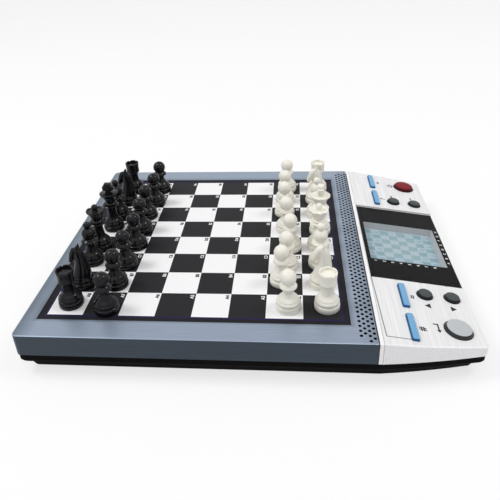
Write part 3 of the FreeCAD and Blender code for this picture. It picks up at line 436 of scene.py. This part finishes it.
FOOT = [
    (0, 0), (8.4, 0), (8.7, 0.4), (8.7, 3.3), (8.45, 4.0), (7.9, 4.3), (7.7, 4.7), (7.9, 5.1),
    (8.2, 5.6), (8.3, 6.3), (8.0, 7.2), (7.2, 7.8), (7.0, 8.1), (7.1, 8.5), (6.6, 9.2),
    (5.8, 9.9), (5.1, 10.6), (4.6, 11.4),
]


def pawn():
    neck = [(4.0, 12.8), (3.5, 13.8), (3.3, 15.2), (3.35, 16.4), (3.8, 17.0)]
    collar = [(5.0, 17.4), (5.9, 18.0), (6.0, 18.6), (5.7, 19.3), (4.8, 20.3), (4.2, 20.9)]
    return lathe(FOOT + neck + collar + ball(5.6, 25.4, -48))


def rook():
    neck = [(4.35, 12.6), (4.2, 14.2), (4.1, 16.2), (4.1, 18.0), (4.4, 18.9)]
    head = [
        (5.4, 19.5), (6.0, 20.1), (6.1, 20.8), (5.9, 21.4), (5.9, 24.5), (6.1, 27.0),
        (6.2, 28.8), (6.1, 29.0),
    ]
    cup = [(5.2, 29.0), (5.0, 28.8), (5.0, 27.0), (0, 26.8)]
    top = len(FOOT + neck + head)
    rim = range(top - 2, top + 2)
    return lathe(
        FOOT + neck + head + cup, 96,
        lambda step, index: -0.7 if index in rim and step % 16 < 3 else 0.0,
    )


def bishop():
    neck = [(4.2, 12.8), (3.7, 14.2), (3.4, 16.0), (3.4, 17.8), (3.9, 18.5)]
    collar = [(5.2, 18.9), (6.4, 19.5), (6.5, 20.0), (6.0, 20.6), (4.6, 21.1), (4.0, 21.6)]
    head = ball(5.3, 25.6, -44, 66, 8) + [(1.7, 30.9)]
    return lathe(FOOT + neck + collar + head + ball(3.0, 33.0, -45))


def crowned(neck_height):
    """The shared stem of the queen and the king: neck, two collars, up to the crown."""
    h = neck_height
    return [
        (4.4, 13.0), (4.0, 15.0), (3.8, 17.4), (3.8, h - 1.0), (4.1, h), (5.6, h + 0.5),
        (6.9, h + 1.1), (7.0, h + 1.6), (6.3, h + 2.1), (5.0, h + 2.5), (5.2, h + 3.0),
        (5.6, h + 3.4), (5.3, h + 3.9), (4.5, h + 4.4),
    ]


def queen():
    stem = FOOT + crowned(22.0)
    crown = [
        (4.5, 27.5), (5.0, 29.6), (6.0, 32.0), (7.1, 34.0), (7.2, 34.5), (6.2, 34.7),
        (5.2, 33.7),
    ]
    knob = [(2.4, 33.9), (1.9, 34.8)] + ball(2.6, 36.9, -42)
    rim = range(len(stem) + 3, len(stem) + 6)
    return lathe(
        stem + crown + knob, 72,
        lambda step, index: -0.6 if index in rim and step % 9 < 3 else 0.0,
    )


def king():
    stem = FOOT + crowned(21.5)
    crown = [
        (4.4, 27.0), (4.9, 29.0), (5.8, 31.2), (7.2, 33.0), (7.7, 33.5), (7.7, 34.1),
        (7.0, 34.5),
    ]
    top = [(3.8, 34.3), (2.8, 34.8), (0, 35.0)]
    points, faces = lathe(stem + crown + top)
    outline = [
        (-1.9, 34.4), (1.9, 34.4), (2.0, 36.6), (4.3, 36.9), (4.4, 40.2), (3.0, 40.6),
        (2.8, 42.4), (2.4, 43.0), (-2.4, 43.0), (-2.8, 42.4), (-3.0, 40.6), (-4.4, 40.2),
        (-4.3, 36.9), (-2.0, 36.6),
    ]
    add_plate(points, faces, outline, 4.6, 0.93)
    return points, faces


def add_plate(points, faces, outline, thick, shrink):
    """Add an upright plate across the board, with eased edges, to a lathed stem."""
    middle = sum(z for _, z in outline) / len(outline)
    first = len(points)
    layers = ((-0.5, shrink), (-0.36, 1.0), (0.36, 1.0), (0.5, shrink))
    for depth, scale in layers:
        for side, z in outline:
            points.append((depth * thick, side * scale, middle + (z - middle) * scale))
    add_walls(faces, first, len(outline), len(layers))


def add_walls(faces, first, size, layers):
    """Join rings of points into a closed skin with an end face on the first and last."""
    for layer in range(layers - 1):
        low = first + layer * size
        for index in range(size):
            after = (index + 1) % size
            faces.append((low + index, low + after, low + size + after, low + size + index))
    last = first + (layers - 1) * size
    faces.append(tuple(first + index for index in reversed(range(size))))
    faces.append(tuple(last + index for index in range(size)))


def add_limb(points, faces, spine, side=0.0, count=20):
    """Add a bent limb: each ring is (x, z, half width along the bend, half width across)."""
    first = len(points)
    for step, (x, z, along, across) in enumerate(spine):
        before = spine[max(step - 1, 0)]
        after = spine[min(step + 1, len(spine) - 1)]
        lean = math.atan2(after[0] - before[0], after[1] - before[1])
        for turn in range(count):
            angle = 2 * math.pi * turn / count
            reach = along * math.cos(angle)
            points.append((
                x + reach * math.cos(lean), side + across * math.sin(angle), z - reach * math.sin(lean)
            ))
    add_walls(faces, first, count, len(spine))


def knight():
    """A foot with a broad neck, a mane along the back, a muzzle and two ears."""
    points, faces = lathe(FOOT + [(4.4, 12.0), (0, 12.2)])
    neck = [
        (0.2, 8.2, 6.9, 6.8), (0.7, 10.4, 6.8, 6.1), (1.1, 14.0, 6.1, 5.1), (1.3, 17.6, 5.1, 4.2),
        (1.3, 21.2, 4.3, 3.6), (1.0, 24.8, 3.9, 3.2), (0.4, 28.0, 3.6, 2.8), (-0.1, 30.6, 2.8, 2.4),
        (-0.3, 32.2, 1.4, 1.4),
    ]
    muzzle = [
        (0.2, 31.0, 1.8, 1.7), (-1.6, 29.7, 2.9, 2.5), (-3.3, 27.2, 2.8, 2.6), (-4.7, 24.4, 2.3, 2.3),
        (-5.6, 22.0, 2.0, 2.1), (-6.1, 20.5, 1.5, 1.6), (-6.2, 19.9, 0.8, 0.9),
    ]
    mane = [
        (6.6, 12.6, 0.6, 0.8), (6.3, 15.8, 0.9, 1.0), (5.7, 19.2, 1.0, 1.1), (5.0, 22.6, 1.0, 1.1),
        (4.3, 26.2, 1.0, 1.0), (3.1, 29.4, 0.9, 0.9), (1.4, 31.8, 0.6, 0.7),
    ]
    ear = [
        (0.4, 30.6, 1.2, 0.9), (0.7, 32.4, 1.0, 0.8), (0.8, 34.0, 0.5, 0.4), (0.7, 34.8, 0.1, 0.1)
    ]
    add_limb(points, faces, neck)
    add_limb(points, faces, mane, 0.0, 12)
    add_limb(points, faces, muzzle)
    for side in (-1.5, 1.5):
        add_limb(points, faces, ear, side, 10)
    return points, faces


FORMS = {
    "pawn": pawn,
    "rook": rook,
    "knight": knight,
    "bishop": bishop,
    "queen": queen,
    "king": king,
}
form_meshes = {}


def smooth_by_angle(mesh, degrees):
    """Smooth shading with crisp edges where faces meet at more than the angle."""
    mesh.shade_smooth()
    mesh.set_sharp_from_angle(angle=math.radians(degrees))


def form_mesh(kind, colour):
    """One mesh for each kind and colour of man."""
    key = f"{colour}_{kind}_form"
    if key not in form_meshes:
        points, faces = FORMS[kind]()
        mesh = bpy.data.meshes.new(key)
        mesh.from_pydata([Vector(p) * MM for p in points], [], faces)
        mesh.materials.append(MATERIALS["men_ivory" if colour == "white" else "men_black"])
        mesh.validate()
        smooth_by_angle(mesh, 40)
        form_meshes[key] = mesh
    return form_meshes[key]


for node in [n for n in nodes if n.startswith(("white_", "black_"))]:
    colour, kind = node.split("_")[:2]
    low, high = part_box(node)
    man = bpy.data.objects.new("shown_" + node, form_mesh(kind, colour))
    scene.collection.objects.link(man)
    if node == "black_king":
        man.rotation_euler.z = math.pi / 2
    man.location = ((low.x + high.x) / 2, (low.y + high.y) / 2, low.z)
    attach(man, node)
    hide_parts(node)


# Round and bar keys with eased edges


def key_turn(out, side):
    """Where a key stands: on the deck and square to it."""
    place = Matrix.Translation(on_panel(out, side) * MM)
    return place @ Matrix.Rotation(TILT, 4, "Y")


def place_key(node, points, faces, out, side, slot):
    """A key built about its own axis, moved to its hole and tied to its node."""
    thing = piece("shown_" + node, points, faces, MATERIALS[slot], "case")
    smooth_by_angle(thing.data, 35)
    thing.parent = None
    thing.matrix_world = key_turn(out, side)
    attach(thing, node)
    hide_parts(node)


def round_cap(radius, proud, taper):
    """A round key: stem, flange and a cap that draws in by the taper."""
    top = radius - taper
    return lathe(
        [
            (0, -5.1), (2.3, -5.1), (2.3, -4.1), (radius + 1.2, -4.1), (radius + 1.2, -2.9),
            (radius, -2.9), (radius, 0.2), (top, proud - 1.0), (top - 0.25, proud - 0.45),
            (top - 0.8, proud - 0.12), (top - 1.7, proud + 0.06), (top * 0.5, proud + 0.2),
            (0, proud + 0.25),
        ],
        48,
    )


def bar_cap(wide, long, proud):
    """A bar with rounded corners, built from stacked outlines."""
    corner = 1.1
    layers = [(0.0, -4.1), (0.0, proud - 0.7), (0.25, proud - 0.2), (0.7, proud)]
    points, faces = [], []
    for inset, height in layers:
        for corner_x, corner_y, start in ((1, -1, -90), (1, 1, 0), (-1, 1, 90), (-1, -1, 180)):
            for step in range(5):
                angle = math.radians(start + 22.5 * step)
                reach = corner - inset
                x = corner_x * (wide / 2 - corner) + reach * math.cos(angle)
                y = corner_y * (long / 2 - corner) + reach * math.sin(angle)
                points.append((x, y, height))
    add_walls(faces, 0, len(points) // len(layers), len(layers))
    return points, faces


for side_name, sign in (("near", -1), ("far", 1)):
    for which, side in BAR_SIDES.items():
        bar = bar_cap(wide=4.6, long=25.0, proud=2.0)
        place_key(f"bar_key_{side_name}_{which}", *bar, BAR_OUT, sign * side, "key_blue")
    for which, out in ARROW_OUTS.items():
        cap = round_cap(radius=5.6, proud=2.5, taper=0.6)
        place_key(f"arrow_key_{side_name}_{which}", *cap, out, sign * ARROW_SIDE, "key_dark")
large_cap = round_cap(radius=9.3, proud=2.8, taper=1.0)
place_key("enter_key", *large_cap, LARGE_OUT, -LARGE_SIDE, "key_grey")
place_key("power_key", *large_cap, LARGE_OUT, LARGE_SIDE, "key_red")


# The frame with its full run of speaker holes


def drill_frame():
    """A copy of the frame with round holes cut over the six-sided ones."""
    points, faces = [], []
    for column, near_end in enumerate(HOLE_NEAR_ENDS):
        x = HOLE_START + column * HOLE_COLUMN
        first = HOLE_NEAR + column % 2 * HOLE_PITCH / 2
        for row in range(-2, 52):
            y = first + row * HOLE_PITCH
            if near_end < y < HOLE_FAR_END:
                add_drill(points, faces, x, y)
    mesh = bpy.data.meshes.new("drills")
    mesh.from_pydata([Vector(p) * MM for p in points], [], faces)
    drill = bpy.data.objects.new("drills", mesh)
    scene.collection.objects.link(drill)
    shown = bpy.data.objects.new("shown_top_frame", nodes["top_frame"].data.copy())
    scene.collection.objects.link(shown)
    cut = shown.modifiers.new("holes", "BOOLEAN")
    cut.operation = "DIFFERENCE"
    cut.solver = "EXACT"
    cut.object = drill
    bpy.context.view_layer.update()
    evaluated = shown.evaluated_get(bpy.context.evaluated_depsgraph_get())
    drilled = bpy.data.meshes.new_from_object(evaluated)
    shown.modifiers.clear()
    shown.data = drilled
    bpy.data.objects.remove(drill)
    for face in drilled.polygons:
        face.use_smooth = max(abs(part) for part in face.normal) < 0.999
    drilled.materials.clear()
    drilled.materials.append(MATERIALS["frame_blue_grey"])
    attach(shown, "case")
    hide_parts("top_frame")


def add_drill(points, faces, x, y, radius=1.12, deep=1.6, count=12):
    """Add one upright drill that ends a little over the frame."""
    first = len(points)
    for height in (FRAME_TOP - deep, FRAME_TOP + 0.5):
        for step in range(count):
            angle = 2 * math.pi * step / count
            points.append((x + radius * math.cos(angle), y + radius * math.sin(angle), height))
    for step in range(count):
        after = (step + 1) % count
        faces.append((first + step, first + after, first + count + after, first + count + step))
    faces.append(tuple(first + i for i in reversed(range(count))))
    faces.append(tuple(first + count + i for i in range(count)))


drill_frame()


# Print: coordinates, display mask and panel marks


def text_shape(words, size, bold=0.0):
    """Flat points and faces of a word about its own middle."""
    curve = bpy.data.curves.new("word", "FONT")
    curve.body = words
    curve.size = size
    curve.offset = bold
    curve.align_x = "CENTER"
    curve.align_y = "CENTER"
    curve.resolution_u = 3
    thing = bpy.data.objects.new("word", curve)
    scene.collection.objects.link(thing)
    bpy.context.view_layer.update()
    mesh = thing.to_mesh()
    points = [tuple(v.co) for v in mesh.vertices]
    faces = [tuple(p.vertices) for p in mesh.polygons]
    thing.to_mesh_clear()
    bpy.data.objects.remove(thing)
    bpy.data.curves.remove(curve)
    return points, faces


class Print:
    """Many flat marks gathered into one piece."""

    def __init__(self):
        self.points = []
        self.faces = []

    def add(self, points, faces):
        first = len(self.points)
        self.points += points
        self.faces += [tuple(first + i for i in face) for face in faces]

    def make(self, name, material, slot):
        return piece(name, self.points, self.faces, material, "case")


def print_coordinates():
    """A file letter and a rank number in each square's far right corner."""
    inks = {0: Print(), 1: Print()}
    for column in range(8):
        for row in range(8):
            dark_ink = (column + row) % 2 == 0
            words = "ABCDEFGH"[row] + str(8 - column)
            points, faces = text_shape(words, 3.6, 0.22 if dark_ink else 0.1)
            x = GRID_LEFT + (column + 1) * SQUARE - 2.4
            y = GRID_NEAR + (row + 1) * SQUARE - 3.6
            turned = [(x - b, y + a, BOARD_TOP + INK_LIFT) for a, b, _ in points]
            inks[(column + row) % 2].add(turned, faces)
    inks[0].make("coordinates_on_light", INK, "board_print")
    inks[1].make("coordinates_on_dark", WHITE_INK, "board_print")


def panel_quad(out_low, side_low, out_high, side_high, height):
    """A flat four-sided mark on the panel, square to its sides."""
    corners = ((out_low, side_low), (out_high, side_low), (out_high, side_high), (out_low, side_high))
    return [tuple(on_panel(out, side, height)) for out, side in corners], [(0, 1, 2, 3)]


def print_mask():
    """Black print behind the window, open over the display."""
    mask = Print()
    start, end = WINDOW_OUT
    view_start, view_end = VIEW_OUT
    mask.add(*panel_quad(start, -WINDOW_HALF, end, -VIEW_HALF, MASK_DEPTH))
    mask.add(*panel_quad(start, VIEW_HALF, end, WINDOW_HALF, MASK_DEPTH))
    mask.add(*panel_quad(start, -VIEW_HALF, view_start, VIEW_HALF, MASK_DEPTH))
    mask.add(*panel_quad(view_end, -VIEW_HALF, end, VIEW_HALF, MASK_DEPTH))
    mask.make("window_mask", MASK_BLACK, "display")
    marks = Print()
    depth = MASK_DEPTH + MARK_LIFT
    for index in range(8):
        out = 7.3 + index * 6.4
        points, faces = text_shape("12345678"[index], 3.0, 0.1)
        marks.add([tuple(on_panel(out - b, -29.6 + a, depth)) for a, b, _ in points], faces)
        side = 24.5 - index * 6.5
        points, faces = text_shape("HGFEDCBA"[index], 2.8, 0.1)
        marks.add([tuple(on_panel(64.4 - b, side + a, depth)) for a, b, _ in points], faces)
    marks.make("window_marks", WHITE_INK, "display")


def panel_strip(start, end, width, height):
    """A thin line on the panel between two (out, side) places."""
    along = Vector(end) - Vector(start)
    across = Vector((-along.y, along.x)).normalized() * width / 2
    corners = (
        Vector(start) - across, Vector(end) - across, Vector(end) + across, Vector(start) + across
    )
    return [tuple(on_panel(out, side, height)) for out, side in corners], [(0, 1, 2, 3)]


def panel_sign(words, size, out, side, height):
    """A plain sign that reads along the panel's long way."""
    points, faces = text_shape(words, size, 0.2)
    return [tuple(on_panel(out - b, side + a, height)) for a, b, _ in points], faces


def power_ring(out, side, height):
    """An open ring with its gap to the board side, for the power sign."""
    points, faces = [], []
    for step in range(21):
        angle = math.radians(40 + 280 * step / 20)
        for radius in (1.7, 2.7):
            spot = on_panel(out - radius * math.cos(angle), side + radius * math.sin(angle), height)
            points.append(tuple(spot))
    for step in range(20):
        faces.append((2 * step, 2 * step + 1, 2 * step + 3, 2 * step + 2))
    return points, faces


def print_panel():
    """Plain signs beside the keys, the bare plate's outline and the bars' faint channel."""
    marks = Print()
    height = MARK_LIFT
    for out, tip in ((35.4, -2.0), (53.1, 2.0)):
        corners = ((out + tip, -79.2), (out - tip, -76.6), (out - tip, -81.8))
        order = (0, 2, 1) if tip < 0 else (0, 1, 2)
        marks.add([tuple(on_panel(o, s, height)) for o, s in corners], [order])
        marks.add(*panel_quad(out - 0.5, 76.2, out + 0.5, 80.0, height))
    inner, outer = BAR_SIDES.values()
    for words, side in (("?", inner), ("+", outer), ("=", -inner), ("#", -outer)):
        marks.add(*panel_sign(words, 6.4, BAR_OUT + 6.5, side, height))
    sign = LARGE_SIGN_OUT
    marks.add(*power_ring(sign, LARGE_SIDE, height))
    marks.add(*panel_strip((sign - 3.0, LARGE_SIDE), (sign - 0.2, LARGE_SIDE), 1.0, height))
    marks.add(*panel_strip((sign, -104.0), (sign, -97.1), 1.0, height))
    marks.add(*panel_strip((sign, -97.6), (sign - 2.9, -97.6), 1.0, height))
    tip = ((sign - 1.6, -103.0), (sign + 1.6, -103.0), (sign, -105.6))
    marks.add([tuple(on_panel(o, s, height)) for o, s in tip], [(2, 1, 0)])
    marks.make("panel_marks", INK, "panel_silver")
    lines = Print()
    plate_side, line_wide = -115.4, 0.6
    lines.add(*panel_strip((0.4, -53.8), (2.3, plate_side), line_wide, height))
    lines.add(*panel_strip((2.2, plate_side), (17.9, plate_side), line_wide, height))
    for out in (18.5, 35.6, 53.8):
        lines.add(*panel_quad(out - 0.6, -54.3, out + 0.6, -53.5, height))
    lines.make("plate_outline", GROOVE, "panel_silver")
    faint = Print()
    for out in (18.6, 22.0):
        for start, end in ((-54.2, -58.8), (-84.4, -91.2), (-116.8, -119.4)):
            faint.add(*panel_strip((out, start), (out, end), 0.5, height))
    faint.make("bar_channel", FAINT, "panel_silver")


print_coordinates()
print_mask()
print_panel()


# Camera, light and floor

# The camera was solved from the corners of the grid in the photograph
CAMERA_PLACE = Vector((30.05, -381.7, 272.7))
CAMERA_FORWARD = Vector((-0.0926, 0.8755, -0.4742))
CAMERA_RIGHT = Vector((0.9957, 0.081, -0.045))
UNSEEN_SKY = 0.45
FLOOR_WHITE = 0.7
FLOOR_REACH = 90

camera_data = bpy.data.cameras.new("Camera")
camera_data.lens = 39.46
camera_data.sensor_width = 36.0
camera_data.shift_x = 0.0182
camera_data.shift_y = -0.1
camera_data.clip_start = 0.01
camera = bpy.data.objects.new("Camera", camera_data)
scene.collection.objects.link(camera)
forward = CAMERA_FORWARD.normalized()
right = (CAMERA_RIGHT - forward * CAMERA_RIGHT.dot(forward)).normalized()
up = right.cross(forward)
turn = Matrix((right, up, -forward)).transposed()
camera.matrix_world = Matrix.Translation(CAMERA_PLACE * MM) @ turn.to_4x4()
scene.camera = camera
scene.view_settings.view_transform = "Standard"


def seen_rays(tree):
    """One for rays that show the background: from the camera, a gloss or a window."""
    path = tree.nodes.new("ShaderNodeLightPath")
    seen = path.outputs["Is Camera Ray"]
    for kind in ("Is Glossy Ray", "Is Transmission Ray"):
        either = tree.nodes.new("ShaderNodeMath")
        either.operation = "MAXIMUM"
        tree.links.new(seen, either.inputs[0])
        tree.links.new(path.outputs[kind], either.inputs[1])
        seen = either.outputs[0]
    return seen


def floor_paint():
    """A pale floor, lifted part of the way to white where it is seen, so the shadow stays."""
    material = plain("floor_look", (0.95, 0.95, 0.95), 0.7, 0.02, 8.0)
    tree = material.node_tree
    white = tree.nodes.new("ShaderNodeEmission")
    lift = tree.nodes.new("ShaderNodeMath")
    lift.operation = "MULTIPLY"
    lift.inputs[1].default_value = FLOOR_WHITE
    tree.links.new(seen_rays(tree), lift.inputs[0])
    blend = tree.nodes.new("ShaderNodeMixShader")
    tree.links.new(lift.outputs[0], blend.inputs[0])
    tree.links.new(tree.nodes["Principled BSDF"].outputs[0], blend.inputs[1])
    tree.links.new(white.outputs[0], blend.inputs[2])
    tree.links.new(blend.outputs[0], tree.nodes["Material Output"].inputs["Surface"])
    return material


world = bpy.data.worlds.new("Studio")
scene.world = world
world.use_nodes = True
background = world.node_tree.nodes["Background"]
background.inputs["Color"].default_value = (1.0, 1.0, 1.0, 1.0)
brightness = world.node_tree.nodes.new("ShaderNodeMapRange")
brightness.inputs["To Min"].default_value = UNSEEN_SKY
brightness.inputs["To Max"].default_value = 1.0
world.node_tree.links.new(seen_rays(world.node_tree), brightness.inputs["Value"])
world.node_tree.links.new(brightness.outputs[0], background.inputs["Strength"])


def area_light(name, place, target, size, power):
    """A round soft light that faces its target."""
    data = bpy.data.lights.new(name, "AREA")
    data.shape = "DISK"
    data.size = size
    data.energy = power
    lamp = bpy.data.objects.new(name, data)
    scene.collection.objects.link(lamp)
    lamp.location = place
    lamp.rotation_euler = (Vector(target) - Vector(place)).to_track_quat("-Z", "Y").to_euler()


area_light("KeyLight", (-0.9, 0.0, 1.3), (0, 0, 0), 0.45, 7.7)
area_light("FillLight", (0.9, 0.1, 1.3), (0, 0, 0), 0.5, 5.5)
sun_data = bpy.data.lights.new("SoftSun", "SUN")
sun_data.energy = 0.55
sun_data.angle = math.radians(70)
sun = bpy.data.objects.new("SoftSun", sun_data)
scene.collection.objects.link(sun)
sun.rotation_euler = (math.radians(18), math.radians(-10), 0)

floor_mesh = bpy.data.meshes.new("Floor")
corners = [
    (-FLOOR_REACH, -FLOOR_REACH, 0),
    (FLOOR_REACH, -FLOOR_REACH, 0),
    (FLOOR_REACH, FLOOR_REACH, 0),
    (-FLOOR_REACH, FLOOR_REACH, 0),
]
floor_mesh.from_pydata(corners, [], [(0, 1, 2, 3)])
floor = bpy.data.objects.new("Floor", floor_mesh)
scene.collection.objects.link(floor)
floor_mesh.materials.append(floor_paint())
